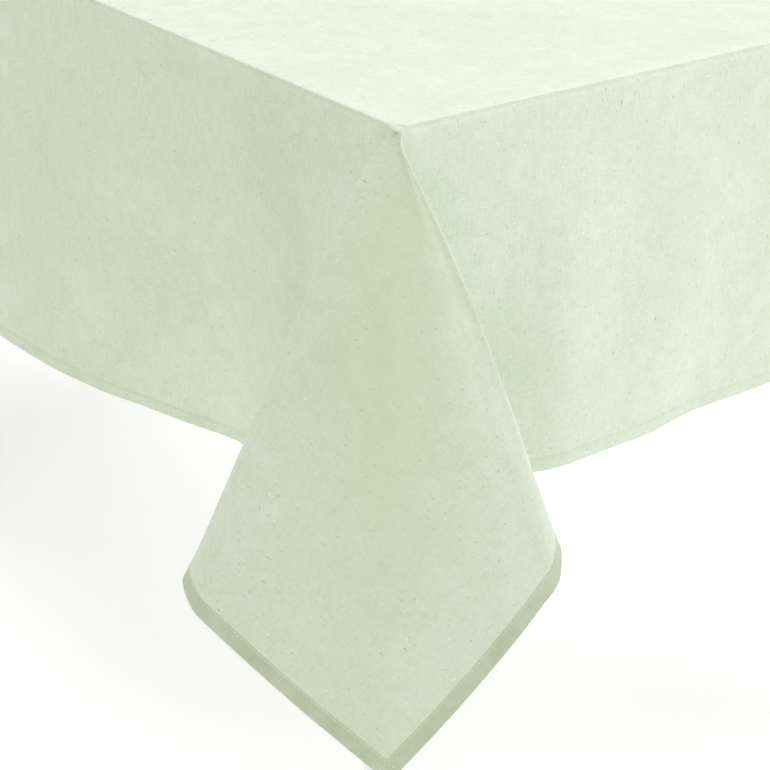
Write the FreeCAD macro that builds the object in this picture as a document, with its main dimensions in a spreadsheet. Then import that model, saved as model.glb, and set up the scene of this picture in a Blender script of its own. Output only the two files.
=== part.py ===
"""A rectangular dining table with a hemmed tablecloth laid over it.

Frame: +Z up, X along the table's length, Y along its width, origin on the floor under the table's centre.
The cloth hangs straight at the four sides. At each corner its spare square of fabric is folded into a
flat kite that leans out from the table's corner, with an underlap running back to the drop on each side.
"""

import FreeCAD, Part
import math
import os

import Sketcher
from FreeCAD import Placement, Rotation, Vector

doc = FreeCAD.newDocument("table_with_cloth")
sheet = doc.addObject("Spreadsheet::Sheet", "sizes")

SIZES = [
    # table
    ("table_length", 1260, "long side of the top"),
    ("table_width", 740, "short side of the top"),
    ("table_height", 740, "floor to the top's upper face"),
    ("top_thickness", 22, "board"),
    ("top_corner_radius", 12, "in plan"),
    ("top_edge_round", 3, "upper edge"),
    ("rail_height", 70, "apron rail"),
    ("rail_thickness", 20, ""),
    ("rail_step", 4, "rail face behind the leg face"),
    ("leg_section", 45, "square at the top of the leg"),
    ("leg_foot_section", 26, "square at its foot"),
    ("leg_straight", 90, "untapered length at the top"),
    ("leg_setback_ends", 26, "leg face from the short edge of the top"),
    ("leg_setback_sides", 14, "leg face from the long edge of the top"),
    ("leg_flat", 8, "depth of the flat on the leg's inner arris"),
    # corner joint
    ("block_gap", 2, "leg flat to corner block"),
    ("block_thickness", 22, ""),
    ("bolt_diameter", 8, "hanger bolt"),
    ("bolt_in_leg", 30, ""),
    ("bolt_past_block", 16, ""),
    ("bolt_play", 0.5, "radial, bolt in the block"),
    ("washer_diameter", 24, ""),
    ("washer_thickness", 2, ""),
    ("nut_thickness", 8, "wing nut's boss"),
    ("nut_boss", 15, "its diameter"),
    ("nut_wing_span", 34, ""),
    ("nut_wing_height", 13, ""),
    ("nut_wing_thickness", 3, ""),
    ("fit_gap", 0.05, "radial, between a fastener and its hole"),
    # fixing screws of the top
    ("screw_diameter", 4, ""),
    ("screw_head", 8, ""),
    ("screw_head_height", 3, ""),
    ("screw_in_top", 14, ""),
    ("screw_in_rail", 22, "wood left above the counterbore"),
    ("counterbore", 10, "its diameter"),
    ("screw_end_inset", 110, "outer screws from the rail's ends"),
    # levelling feet
    ("pad_diameter", 24, ""),
    ("pad_height", 8, ""),
    ("pad_round", 2, ""),
    ("foot_travel", 8, "pad to leg with the foot as stored"),
    ("stud_diameter", 8, ""),
    ("stud_length", 38, "above the pad"),
    ("insert_diameter", 12, "threaded insert in the leg"),
    ("insert_length", 20, ""),
    ("hole_end_room", 4, "hole past the stud at full travel"),
    # cloth
    ("cloth_length", 1800, "hem to hem, along X"),
    ("cloth_width", 1400, "hem to hem, along Y"),
    ("cloth_thickness", 1, "as a solid"),
    ("cloth_gap", 0.3, "loft between the cloth and the table"),
    ("hem_width", 11, ""),
    ("hem_thickness", 2, "three layers of cloth"),
    ("stitch_inset", 1.5, "seam from the hem's inner edge"),
    ("stitch_width", 0.6, ""),
    ("kite_lean", 13, "degrees from upright"),
    ("kite_turn", 6.5, "degrees from the corner's bisector, towards the short side"),
    ("kite_half_long", 24, "degrees from the kite's middle to its fold over the long side's drop"),
    ("kite_half_short", 19.5, "the same over the short side's drop"),
    ("kite_stand_off", 4, "kite's top from the corner of the cloth"),
    ("fold_seat", 1.5, "width of the underlap's seat behind the fold"),
]


def fill_sheet():
    for row, (alias, value, note) in enumerate(SIZES, start=1):
        sheet.set(f"A{row}", alias)
        sheet.set(f"B{row}", str(value))
        sheet.set(f"C{row}", note)
        sheet.setAlias(f"B{row}", alias)
    doc.recompute()


fill_sheet()


def size(alias):
    return float(sheet.get(alias))


def cell(text):
    """An expression in which $name stands for that cell of the sheet."""
    return text.replace("$", "sizes.")


# Every sub-part, by label, in the order made.
nodes = {}


def keep(label, obj):
    obj.Label = label
    nodes[label] = obj
    return obj


# ---------------------------------------------------------------- sketch and primitive helpers


def origin_plane(body, role):
    return next(f for f in body.Origin.OriginFeatures if f.Role == role)


def new_sketch(body, name, role="XY_Plane"):
    sketch = body.newObject("Sketcher::SketchObject", name)
    sketch.AttachmentSupport = [(origin_plane(body, role), "")]
    sketch.MapMode = "FlatFace"
    return sketch


def bind(sketch, constraint, name, text):
    index = sketch.addConstraint(constraint)
    sketch.renameConstraint(index, name)
    sketch.setExpression(f".Constraints.{name}", cell(text))


def closed_outline(sketch, corners):
    """Straight edges through the corners, joined end to end. Returns the first edge's number."""
    first = sketch.GeometryCount
    count = len(corners)
    for i in range(count):
        a, b = corners[i], corners[(i + 1) % count]
        sketch.addGeometry(Part.LineSegment(Vector(*a, 0), Vector(*b, 0)), False)
    for i in range(count):
        nxt = first + (i + 1) % count
        sketch.addConstraint(Sketcher.Constraint("Coincident", first + i, 2, nxt, 1))
    return first


def rectangle(sketch, width, height, centred=True, w=10.0, h=10.0):
    """A rectangle of width by height, which are expressions. Uncentred, its first corner is the origin."""
    x, y = (w / 2, h / 2) if centred else (0.0, 0.0)
    first = closed_outline(sketch, [(-x, -y), (w - x, -y), (w - x, h - y), (-x, h - y)])
    for i, way in enumerate(("Horizontal", "Vertical", "Horizontal", "Vertical")):
        sketch.addConstraint(Sketcher.Constraint(way, first + i))
    bind(sketch, Sketcher.Constraint("DistanceX", first, 1, first, 2, w), "wide", width)
    bind(sketch, Sketcher.Constraint("DistanceY", first + 1, 1, first + 1, 2, h), "high", height)
    if centred:
        sketch.addConstraint(Sketcher.Constraint("Symmetric", first, 1, first + 1, 2, -1, 1))
    else:
        sketch.addConstraint(Sketcher.Constraint("Coincident", first, 1, -1, 1))


def circle(sketch, name, x_text, y_text, diameter_text):
    """A circle whose centre and diameter are expressions."""
    c = sketch.addGeometry(Part.Circle(Vector(1, 1, 0), Vector(0, 0, 1), 1), False)
    bind(sketch, Sketcher.Constraint("Diameter", c, 2.0), name + "_d", diameter_text)
    bind(sketch, Sketcher.Constraint("DistanceX", -1, 1, c, 3, 1.0), name + "_x", x_text)
    bind(sketch, Sketcher.Constraint("DistanceY", -1, 1, c, 3, 1.0), name + "_y", y_text)


def pad(body, sketch, name, length_text):
    feature = body.newObject("PartDesign::Pad", name)
    feature.Profile = sketch
    feature.setExpression("Length", cell(length_text))
    return feature


def pocket(body, sketch, name, length_text=None, up=False):
    """Cuts to a depth, or through everything both ways."""
    feature = body.newObject("PartDesign::Pocket", name)
    feature.Profile = sketch
    if length_text is None:
        feature.Type = "ThroughAll"
        feature.Midplane = True
    else:
        feature.setExpression("Length", cell(length_text))
        feature.Reversed = up
    return feature


def cylinder(name, radius_text, height_text, placement=None):
    c = doc.addObject("Part::Cylinder", name)
    c.setExpression("Radius", cell(radius_text))
    c.setExpression("Height", cell(height_text))
    if placement:
        c.Placement = placement
    return c


def box(name, length_text, width_text, height_text):
    b = doc.addObject("Part::Box", name)
    for prop, text in (("Length", length_text), ("Width", width_text), ("Height", height_text)):
        b.setExpression(prop, cell(text))
    return b


def cut(name, base, *tools):
    tool = tools[0]
    if len(tools) > 1:
        tool = doc.addObject("Part::MultiFuse", name + "_tools")
        tool.Shapes = list(tools)
    result = doc.addObject("Part::Cut", name)
    result.Base, result.Tool = base, tool
    return result


def fuse(name, *parts):
    result = doc.addObject("Part::MultiFuse", name)
    result.Shapes = list(parts)
    return result


# ---------------------------------------------------------------- places shared by several pieces

# Each corner: its name, the signs of x and y, and the turn that brings the front right one there.
CORNERS = [
    ("front_right", 1, -1, 0),
    ("back_right", 1, 1, 90),
    ("back_left", -1, 1, 180),
    ("front_left", -1, -1, 270),
]
UNDERSIDE = "($table_height - $top_thickness)"
LEG_FOOT_Z = "($pad_height + $foot_travel)"
LEG_FACE_X = "($table_length / 2 - $leg_setback_ends)"
LEG_FACE_Y = "($table_width / 2 - $leg_setback_sides)"
# Half the clear length between two legs, which is half a rail.
HALF_LONG_RAIL = f"({LEG_FACE_X} - $leg_section)"
HALF_SHORT_RAIL = f"({LEG_FACE_Y} - $leg_section)"


def value(text):
    """An expression's value, in millimetres or degrees."""
    names = {alias: size(alias) for alias, _, _ in SIZES}
    for alias in sorted(names, key=len, reverse=True):
        text = text.replace("$" + alias, repr(names[alias]))
    return float(FreeCAD.Units.Quantity(text).Value)


def screw_places():
    """(x, y) of each screw that holds the top: three in a long rail, two in a short one."""
    y_long = value(f"{LEG_FACE_Y} - $rail_step - $rail_thickness / 2")
    x_short = value(f"{LEG_FACE_X} - $rail_step - $rail_thickness / 2")
    x_end = value(f"{HALF_LONG_RAIL} - $screw_end_inset")
    y_end = value(f"{HALF_SHORT_RAIL} - $screw_end_inset")
    long_rails = [(x, s * y_long) for s in (-1, 1) for x in (-x_end, 0, x_end)]
    short_rails = [(s * x_short, y) for s in (-1, 1) for y in (-y_end, y_end)]
    return long_rails + short_rails


# ---------------------------------------------------------------- table top


def make_table_top():
    body = doc.addObject("PartDesign::Body", "TopBody")
    outline = new_sketch(body, "TopOutline")
    rectangle(outline, "$table_length", "$table_width", True, 1000, 600)
    board = pad(body, outline, "TopBoard", "$top_thickness")
    doc.recompute()
    upright = [
        f"Edge{i}"
        for i, e in enumerate(board.Shape.Edges, start=1)
        if abs(e.Vertexes[0].Z - e.Vertexes[-1].Z) > 1
    ]
    corners = body.newObject("PartDesign::Fillet", "TopCorners")
    corners.Base = (board, upright)
    corners.setExpression("Radius", cell("$top_corner_radius"))
    doc.recompute()
    upper = [
        f"Edge{i}"
        for i, e in enumerate(corners.Shape.Edges, start=1)
        if all(abs(v.Z - size("top_thickness")) < 1e-6 for v in e.Vertexes)
    ]
    rounded = body.newObject("PartDesign::Fillet", "TopEdgeRound")
    rounded.Base = (corners, upper)
    rounded.setExpression("Radius", cell("$top_edge_round"))
    doc.recompute()
    pilots = new_sketch(body, "PilotHoles")
    for i, (x, y) in enumerate(screw_places()):
        circle(pilots, f"pilot{i}", repr(x), repr(y), "$screw_diameter + 2 * $fit_gap")
    pocket(body, pilots, "Pilots", "$screw_in_top", up=True)
    body.setExpression("Placement.Base.z", cell(UNDERSIDE))
    return keep("table_top", body)


# ---------------------------------------------------------------- rails


def make_rail(label, side, along_x):
    """One apron rail between two legs, with a counterbored hole under each of its screws."""
    half = HALF_LONG_RAIL if along_x else HALF_SHORT_RAIL
    face = LEG_FACE_Y if along_x else LEG_FACE_X
    length = f"2 * {half}"
    spans = (length, "$rail_thickness") if along_x else ("$rail_thickness", length)
    blank = box(label + "_blank", *spans, "$rail_height")
    outer = f"({face} - $rail_step)"
    across = f"{outer} - $rail_thickness" if side > 0 else f"-{outer}"
    blank.setExpression("Placement.Base.x", cell(f"-{half}" if along_x else across))
    blank.setExpression("Placement.Base.y", cell(across if along_x else f"-{half}"))
    blank.setExpression("Placement.Base.z", cell(f"{UNDERSIDE} - $rail_height"))
    tools = []
    middle = side * value(f"{outer} - $rail_thickness / 2")
    for i, (x, y) in enumerate(screw_places()):
        if abs((y if along_x else x) - middle) > 1:
            continue
        hole = cylinder(f"{label}_hole{i}", "$screw_diameter / 2 + $fit_gap", "$rail_height")
        wide = cylinder(f"{label}_bore{i}", "$counterbore / 2", "$rail_height - $screw_in_rail")
        for tool in (hole, wide):
            tool.Placement.Base = Vector(x, y, 0)
            tool.setExpression("Placement.Base.z", cell(f"{UNDERSIDE} - $rail_height"))
            tools.append(tool)
    return keep(label, cut(label + "_cut", blank, *tools))


# ---------------------------------------------------------------- legs and their corner joints


def corner_placement(sx, sy, turn, z_text):
    """Puts a piece drawn with the front right leg's outer corner at its origin at a corner of the table."""
    base = Vector(sx * value(LEG_FACE_X), sy * value(LEG_FACE_Y), value(z_text))
    return Placement(base, Rotation(Vector(0, 0, 1), turn))


def bolt_placement(sx, sy, turn, reach):
    """At a distance from the leg's middle along its inward diagonal, at the rail's mid height, Z inwards."""
    half = value("$leg_section / 2")
    inward = Vector(-1, 1, 0).normalize()
    local = Placement(Vector(-half, half, 0) + inward * reach, Rotation(Vector(0, 0, 1), inward))
    return corner_placement(sx, sy, turn, f"{UNDERSIDE} - $rail_height / 2") * local


def flat_reach():
    """The leg's middle to the flat on its inner arris."""
    return size("leg_section") / math.sqrt(2) - size("leg_flat")


def triangle(sketch, corners, width_text, height_text):
    """A right triangle: its first edge is level and its second upright."""
    first = closed_outline(sketch, corners)
    sketch.addConstraint(Sketcher.Constraint("Horizontal", first))
    sketch.addConstraint(Sketcher.Constraint("Vertical", first + 1))
    (x0, y0), (x1, _), (_, y2) = corners
    bind(sketch, Sketcher.Constraint("DistanceX", -1, 1, first, 1, x0), "start", width_text[0])
    bind(sketch, Sketcher.Constraint("DistanceX", -1, 1, first, 2, x1), "end", width_text[1])
    bind(sketch, Sketcher.Constraint("DistanceY", -1, 1, first, 1, y0), "foot", "0")
    bind(sketch, Sketcher.Constraint("DistanceY", first + 1, 1, first + 1, 2, y2 - y0), "rise", height_text)


def make_leg(corner, sx, sy, turn):
    """A square leg, tapered on its two inner faces, with a flat and a bolt hole on its inner arris."""
    body = doc.addObject("PartDesign::Body", f"LegBody_{corner}")
    section = new_sketch(body, f"LegSection_{corner}")
    first = closed_outline(section, [(-40, 0), (0, 0), (0, 40), (-40, 40)])
    for i, way in enumerate(("Horizontal", "Vertical", "Horizontal", "Vertical")):
        section.addConstraint(Sketcher.Constraint(way, first + i))
    section.addConstraint(Sketcher.Constraint("Coincident", first, 2, -1, 1))
    wide = Sketcher.Constraint("DistanceX", first, 1, first, 2, 40)
    bind(section, wide, "wide", "$leg_section")
    deep = Sketcher.Constraint("DistanceY", first + 1, 1, first + 1, 2, 40)
    bind(section, deep, "deep", "$leg_section")
    pad(body, section, f"LegBlank_{corner}", f"{UNDERSIDE} - {LEG_FOOT_Z}")
    rise = f"{UNDERSIDE} - {LEG_FOOT_Z} - $leg_straight"
    for role, way in (("XZ_Plane", -1), ("YZ_Plane", 1)):
        wedge = new_sketch(body, f"Taper{role[:2]}_{corner}", role)
        sign = "-" if way < 0 else ""
        starts = (f"{sign}$leg_foot_section", f"{sign}($leg_section + 1)")
        triangle(wedge, [(way * 26, 0), (way * 50, 0), (way * 50, 300)], starts, f"({rise}) * 1.05")
        pocket(body, wedge, f"TaperCut{role[:2]}_{corner}")
    arris = new_sketch(body, f"ArrisFlat_{corner}")
    reach = value("$leg_section")
    side = value("$leg_flat") * math.sqrt(2)
    first = closed_outline(arris, [(-reach, reach - side), (-reach, reach), (-reach + side, reach)])
    arris.addConstraint(Sketcher.Constraint("Vertical", first))
    arris.addConstraint(Sketcher.Constraint("Horizontal", first + 1))
    at_x = Sketcher.Constraint("DistanceX", -1, 1, first, 2, -reach)
    bind(arris, at_x, "arris_x", "-$leg_section")
    at_y = Sketcher.Constraint("DistanceY", -1, 1, first, 2, reach)
    bind(arris, at_y, "arris_y", "$leg_section")
    down = Sketcher.Constraint("DistanceY", first, 1, first, 2, side)
    bind(arris, down, "side_y", "$leg_flat * sqrt(2)")
    along = Sketcher.Constraint("DistanceX", first + 1, 1, first + 1, 2, side)
    bind(arris, along, "side_x", "$leg_flat * sqrt(2)")
    pocket(body, arris, f"ArrisCut_{corner}")
    for name, diameter, depth in (
        ("InsertSeat", "$insert_diameter + 2 * $fit_gap", "$insert_length"),
        ("StudRoom", "$stud_diameter + 1", "$stud_length + $hole_end_room"),
    ):
        hole = new_sketch(body, f"{name}_{corner}")
        circle(hole, "hole", "-$leg_foot_section / 2", "$leg_foot_section / 2", diameter)
        pocket(body, hole, f"{name}Cut_{corner}", depth, up=True)
    body.Placement = corner_placement(sx, sy, turn, LEG_FOOT_Z)
    reach = flat_reach() - size("bolt_in_leg")
    hole = cylinder(f"BoltHole_{corner}", "$bolt_diameter / 2 + $fit_gap", "$bolt_in_leg + $leg_flat")
    hole.Placement = bolt_placement(sx, sy, turn, reach)
    return keep(f"leg_{corner}", cut(f"LegDrilled_{corner}", body, hole))


def make_corner_block(corner, sx, sy, turn):
    """A block glued across the corner of the rails, which the leg's bolt pulls the leg against."""
    near = flat_reach() + size("block_gap")
    far = near + size("block_thickness")
    # Plan outline about the leg's outer corner: the block ends on the inner faces of the two rails.
    side_face = size("rail_step") + size("rail_thickness")
    middle = size("leg_section") / 2

    def crossing(reach):
        """Where the block's face at that reach meets the long rail and the short rail."""
        line = reach * math.sqrt(2) + 2 * middle  # y - x on that face
        return Vector(side_face - line, side_face, 0), Vector(-side_face, line - side_face, 0)

    near_long, near_short = crossing(near)
    far_long, far_short = crossing(far)
    outline = Part.makePolygon([near_long, near_short, far_short, far_long, near_long])
    block = doc.addObject("Part::Feature", f"Block_{corner}")
    block.Shape = Part.Face(outline).extrude(Vector(0, 0, size("rail_height")))
    block.Placement = corner_placement(sx, sy, turn, f"{UNDERSIDE} - $rail_height")
    hole = cylinder(f"BlockHole_{corner}", "$bolt_diameter / 2 + $bolt_play", "$block_thickness + 10")
    hole.Placement = bolt_placement(sx, sy, turn, near - 5)
    return keep(f"corner_block_{corner}", cut(f"BlockDrilled_{corner}", block, hole))


def make_corner_bolt(corner, sx, sy, turn):
    start = flat_reach() - size("bolt_in_leg")
    length = "$bolt_in_leg + $block_gap + $block_thickness + $bolt_past_block"
    bolt = cylinder(f"Bolt_{corner}", "$bolt_diameter / 2", length)
    bolt.Placement = bolt_placement(sx, sy, turn, start)
    keep(f"hanger_bolt_{corner}", bolt)

    face = flat_reach() + size("block_gap") + size("block_thickness")
    disc = cylinder(f"WasherDisc_{corner}", "$washer_diameter / 2", "$washer_thickness")
    eye = cylinder(f"WasherEye_{corner}", "$bolt_diameter / 2 + $bolt_play", "$washer_thickness")
    washer = cut(f"Washer_{corner}", disc, eye)
    washer.Placement = bolt_placement(sx, sy, turn, face)
    keep(f"washer_{corner}", washer)

    boss = cylinder(f"NutBoss_{corner}", "$nut_boss / 2", "$nut_thickness")
    wings = box(f"NutWings_{corner}", "$nut_wing_span", "$nut_wing_thickness", "$nut_wing_height")
    wings.setExpression("Placement.Base.x", cell("-$nut_wing_span / 2"))
    wings.setExpression("Placement.Base.y", cell("-$nut_wing_thickness / 2"))
    wings.setExpression("Placement.Base.z", cell("$nut_thickness / 3"))
    bore_height = "$nut_thickness + $nut_wing_height"
    bore = cylinder(f"NutBore_{corner}", "$bolt_diameter / 2 + $fit_gap", bore_height)
    nut = cut(f"WingNut_{corner}", fuse(f"NutBody_{corner}", boss, wings), bore)
    nut.Placement = bolt_placement(sx, sy, turn, face + size("washer_thickness"))
    keep(f"wing_nut_{corner}", nut)


def make_top_screws():
    """The screws up through the rails into the top, identical, as one group."""
    screws = []
    seat = value(f"{UNDERSIDE} - $screw_in_rail")
    for x, y in screw_places():
        radius, head = size("screw_diameter") / 2, size("screw_head") / 2
        shank = Part.makeCylinder(radius, value("$screw_in_rail + $screw_in_top - 1"), Vector(x, y, seat))
        top = Vector(x, y, seat - size("screw_head_height"))
        screws.append(shank.fuse(Part.makeCylinder(head, size("screw_head_height"), top)))
    group = doc.addObject("Part::Feature", "TopScrews")
    group.Shape = Part.makeCompound(screws)
    return keep("top_screws", group)


# ---------------------------------------------------------------- levelling feet


def make_foot(corner, sx, sy, turn):
    """A round pad on a threaded stud, and the insert that the stud screws into."""
    half = size("leg_foot_section") / 2
    floor = corner_placement(sx, sy, turn, "0")

    def at(z_text):
        return floor * Placement(Vector(-half, half, value(z_text)), Rotation())

    disc = cylinder(f"PadDisc_{corner}", "$pad_diameter / 2", "$pad_height")
    doc.recompute()
    rim = doc.addObject("Part::Fillet", f"Pad_{corner}")
    rim.Base = disc
    upper = [
        i
        for i, e in enumerate(disc.Shape.Edges, start=1)
        if e.Curve.TypeId == "Part::GeomCircle" and e.Curve.Center.z > 1
    ]
    rim.Edges = [(i, size("pad_round"), size("pad_round")) for i in upper]
    rim.Placement = at("0")
    keep(f"foot_pad_{corner}", rim)

    stud = cylinder(f"Stud_{corner}", "$stud_diameter / 2", "$stud_length")
    stud.Placement = at("$pad_height")
    keep(f"foot_stud_{corner}", stud)

    outside = cylinder(f"InsertOutside_{corner}", "$insert_diameter / 2", "$insert_length")
    bore = cylinder(f"InsertBore_{corner}", "$stud_diameter / 2 + $fit_gap", "$insert_length")
    insert = cut(f"Insert_{corner}", outside, bore)
    insert.Placement = at(LEG_FOOT_Z)
    keep(f"leg_insert_{corner}", insert)


# ---------------------------------------------------------------- cloth


def plate(outer, inner):
    """A closed solid between two outlines with the same number of corners, facing each other."""
    count = len(outer)
    faces = []
    for ring in (outer, inner):
        faces += [(ring[0], ring[i], ring[i + 1]) for i in range(1, count - 1)]
    for i in range(count):
        j = (i + 1) % count
        faces += [(outer[i], outer[j], inner[j]), (outer[i], inner[j], inner[i])]
    shell = Part.Shell([Part.Face(Part.makePolygon([*f, f[0]])) for f in faces])
    solid = Part.Solid(shell)
    solid.fix(1e-6, 1e-6, 1e-6)
    if solid.Volume < 0:
        solid.reverse()
    return solid


def shifted(ring, by):
    return [p + by for p in ring]


def cloth_values():
    """The cloth's own places: inner faces, drops and the level of its upper face."""
    gap, thick = size("cloth_gap"), size("cloth_thickness")
    return {
        "half_x": size("table_length") / 2 + gap,
        "half_y": size("table_width") / 2 + gap,
        "under": size("table_height") + gap,
        "upper": size("table_height") + gap + thick,
        "drop_long": (size("cloth_width") - size("table_width")) / 2,
        "drop_short": (size("cloth_length") - size("table_length")) / 2,
    }


def make_cloth_top():
    """The part of the cloth that lies on the table."""
    c = cloth_values()
    thick = size("cloth_thickness")
    blank = Part.makeBox(
        2 * c["half_x"], 2 * c["half_y"], thick, Vector(-c["half_x"], -c["half_y"], c["under"])
    )
    upright = [e for e in blank.Edges if abs(e.Vertexes[0].Z - e.Vertexes[-1].Z) > thick / 2]
    panel = doc.addObject("Part::Feature", "ClothTop")
    panel.Shape = blank.makeFillet(size("top_corner_radius"), upright)
    return keep("cloth_top", panel)


def make_drop(label, side, along_x):
    """A hanging side of the cloth down to its hem, with the hem below it and the seam across the hem."""
    c = cloth_values()
    thick, hem = size("cloth_thickness"), size("hem_width")
    face = c["half_y"] if along_x else c["half_x"]
    half = (c["half_x"] if along_x else c["half_y"]) - size("top_corner_radius")
    drop = c["drop_long"] if along_x else c["drop_short"]
    bottom = c["upper"] - drop

    def slab(depth, z_low, z_high, start=0.0, half=half):
        """A slab along the side, from the drop's inner face plus start outwards."""
        near, far = face + start, face + start + depth
        low, high = (near, far) if side > 0 else (-far, -near)
        if along_x:
            return Part.makeBox(2 * half, high - low, z_high - z_low, Vector(-half, low, z_low))
        return Part.makeBox(high - low, 2 * half, z_high - z_low, Vector(low, -half, z_low))

    panel = doc.addObject("Part::Feature", label)
    panel.Shape = slab(thick, bottom + hem, c["upper"]).cut(slab(thick, c["under"], c["upper"], -thick))
    keep(f"cloth_drop_{label}", panel)
    seam = bottom + hem - size("stitch_inset")
    width = size("stitch_width")
    # The seam stops where the underlaps are laid against the hem.
    clear = half - thick - 2 * size("fold_seat")
    thread = slab(width / 2, seam - width / 2, seam + width / 2, size("hem_thickness"), clear)
    return [slab(size("hem_thickness"), bottom, bottom + hem)], thread


def kite_corner(sx, sy):
    """The corner fold's points at one corner of the cloth, the diagonal mirror of the others."""
    c = cloth_values()
    lean, turn = math.radians(size("kite_lean")), math.radians(size("kite_turn"))
    to_long, to_short = (math.radians(size(f"kite_half_{s}")) for s in ("long", "short"))
    long_drop, short_drop = c["drop_long"], c["drop_short"]
    # Azimuth of the kite's middle from the x axis, in the quadrant of the front right corner.
    azimuth = math.pi / 4 - turn
    out = Vector(sx * math.cos(azimuth), sy * math.sin(azimuth), 0)
    # Level, and towards the short side's drop.
    across = Vector(sx * math.sin(azimuth), -sy * math.cos(azimuth), 0)
    down = out * math.sin(lean) + Vector(0, 0, -math.cos(lean))
    facing = out * math.cos(lean) + Vector(0, 0, math.sin(lean))
    thick = size("cloth_thickness")
    top = Vector(sx * (c["half_x"] + thick), sy * (c["half_y"] + thick), c["upper"])
    top = top + out * size("kite_stand_off")
    middle = math.atan2(short_drop, long_drop)
    reach_long = long_drop / math.cos(middle - to_long)
    reach_short = short_drop / math.sin(middle + to_short)
    fold_long = top + (down * math.cos(to_long) - across * math.sin(to_long)) * reach_long
    fold_short = top + (down * math.cos(to_short) + across * math.sin(to_short)) * reach_short
    tip = top + down * math.hypot(long_drop, short_drop)
    return top, fold_long, fold_short, tip, facing


def inward_line(a, b, towards, distance):
    """The points a and b moved square to the line a b, in the plane of the third point, by a distance."""
    along = (b - a).normalize()
    side = towards - a
    side = side - along * side.dot(along)
    step = side.normalize() * distance
    return a + step, b + step


def meet(a, b, c, d):
    """Where the line a b meets the line c d, both in one plane."""
    u, v = b - a, d - c
    normal = u.cross(v)
    t = (c - a).cross(v).dot(normal) / normal.dot(normal)
    return a + u * t


def make_corner_fold(corner, sx, sy):
    """The kite and its two underlaps, and the kite's two lengths of hem and seam."""
    c = cloth_values()
    thick, hem_thick = size("cloth_thickness"), size("hem_thickness")
    top, fold_long, fold_short, tip, facing = kite_corner(sx, sy)
    back = facing * -thick
    # The hem's inner edge on each side of the tip.
    long_a, long_b = inward_line(fold_long, tip, top, size("hem_width"))
    short_a, short_b = inward_line(fold_short, tip, top, size("hem_width"))
    heart = meet(long_a, long_b, short_a, short_b)
    in_long = meet(top, fold_long, long_a, long_b)
    in_short = meet(top, fold_short, short_a, short_b)
    face = [top, in_long, heart, in_short]
    solids = [plate(face, shifted(face, back))]
    seats = (
        ("long", fold_long, in_long, Vector(sx, 0, 0), Vector(0, sy, 0), c["drop_long"]),
        ("short", fold_short, in_short, Vector(0, sy, 0), Vector(sx, 0, 0), c["drop_short"]),
    )
    middle = (top + tip) * 0.5
    underlap_hems = {}
    for side, fold, inside, along, outwards, drop in seats:
        # The seat on the kite's back, beside its fold.
        p, q = inward_line(top, inside, middle, size("fold_seat"))
        seat = shifted([top + (inside - top) * 0.02, inside, q, p + (q - p) * 0.02], back)
        # The seat on the drop's outer face, beside its end.
        end = Vector(
            sx * (c["half_x"] + thick), sy * (c["half_y"] + thick), c["upper"] - size("hem_width")
        )
        end = end - along * (size("top_corner_radius") + thick + size("fold_seat"))
        bottom = Vector(end.x, end.y, c["upper"] - drop + size("hem_width"))
        lowest = Vector(end.x, end.y, c["upper"] - drop)
        inner = along * size("fold_seat")
        solids.append(plate([seat[0], seat[1], bottom, end], [seat[3], seat[2], bottom + inner, end + inner]))
        # The underlap's own hem, between the drop's hem and the kite's, just clear of the underlap.
        clear = thick
        low_in, low_out = inside + (fold - inside).normalize() * clear, fold
        step = inward_line(top, fold, middle, size("fold_seat"))[0] - top
        onto = outwards * (hem_thick - thick)
        ring = [bottom - Vector(0, 0, clear) + onto, lowest + onto, low_out + back, low_in + back]
        underlap_hems[side] = plate(ring, [*shifted(ring[:2], inner), *shifted(ring[2:], step)])
    fold = doc.addObject("Part::Feature", f"CornerFold_{corner}")
    fold.Shape = Part.makeCompound(solids)
    keep(f"corner_fold_{corner}", fold)
    # The hem's face stands proud of the kite's.
    proud = facing * (hem_thick - thick)
    strips = {}
    for side, fold_end, inner_end in (("long", fold_long, in_long), ("short", fold_short, in_short)):
        ring = [fold_end, tip, heart, inner_end]
        band = plate(shifted(ring, proud), shifted(ring, back))
        a, b = inward_line(inner_end, heart, tip, size("stitch_inset") - size("stitch_width") / 2)
        e, f = inward_line(inner_end, heart, tip, size("stitch_inset") + size("stitch_width") / 2)
        line = shifted([a, b, f, e], proud + facing * (size("stitch_width") / 20))
        thread = plate(shifted(line, facing * (size("stitch_width") / 2)), line)
        strips[side] = ([band, underlap_hems[side]], thread)
    return strips


def make_cloth():
    make_cloth_top()
    # Each side: its name, the sign of the axis it faces along, and whether it runs along X.
    sides = [("front", -1, True), ("back", 1, True), ("left", -1, False), ("right", 1, False)]
    strips = {}
    for label, side, along_x in sides:
        strips[label] = [make_drop(label, side, along_x)]
    for corner, sx, sy, _ in CORNERS:
        found = make_corner_fold(corner, sx, sy)
        strips["front" if sy < 0 else "back"].append(found["long"])
        strips["left" if sx < 0 else "right"].append(found["short"])
    for label, parts in strips.items():
        hems = [solid for bands, _ in parts for solid in bands]
        threads = [thread for _, thread in parts]
        for kind, pieces in (("hem", hems), ("hem_stitching", threads)):
            group = doc.addObject("Part::Feature", f"{kind}_{label}_group")
            group.Shape = Part.makeCompound(pieces)
            keep(f"{kind}_{label}", group)


# ---------------------------------------------------------------- the whole object


def check(obj):
    """Stops the build if a sub-part failed or isn't closed, valid solids."""
    shape = obj.Shape
    if shape.isNull() or not shape.isValid() or not shape.Solids:
        raise RuntimeError(f"{obj.Label} has no valid solid")
    if any(s.Volume <= 0 for s in shape.Solids):
        raise RuntimeError(f"{obj.Label} is inside out")


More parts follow.
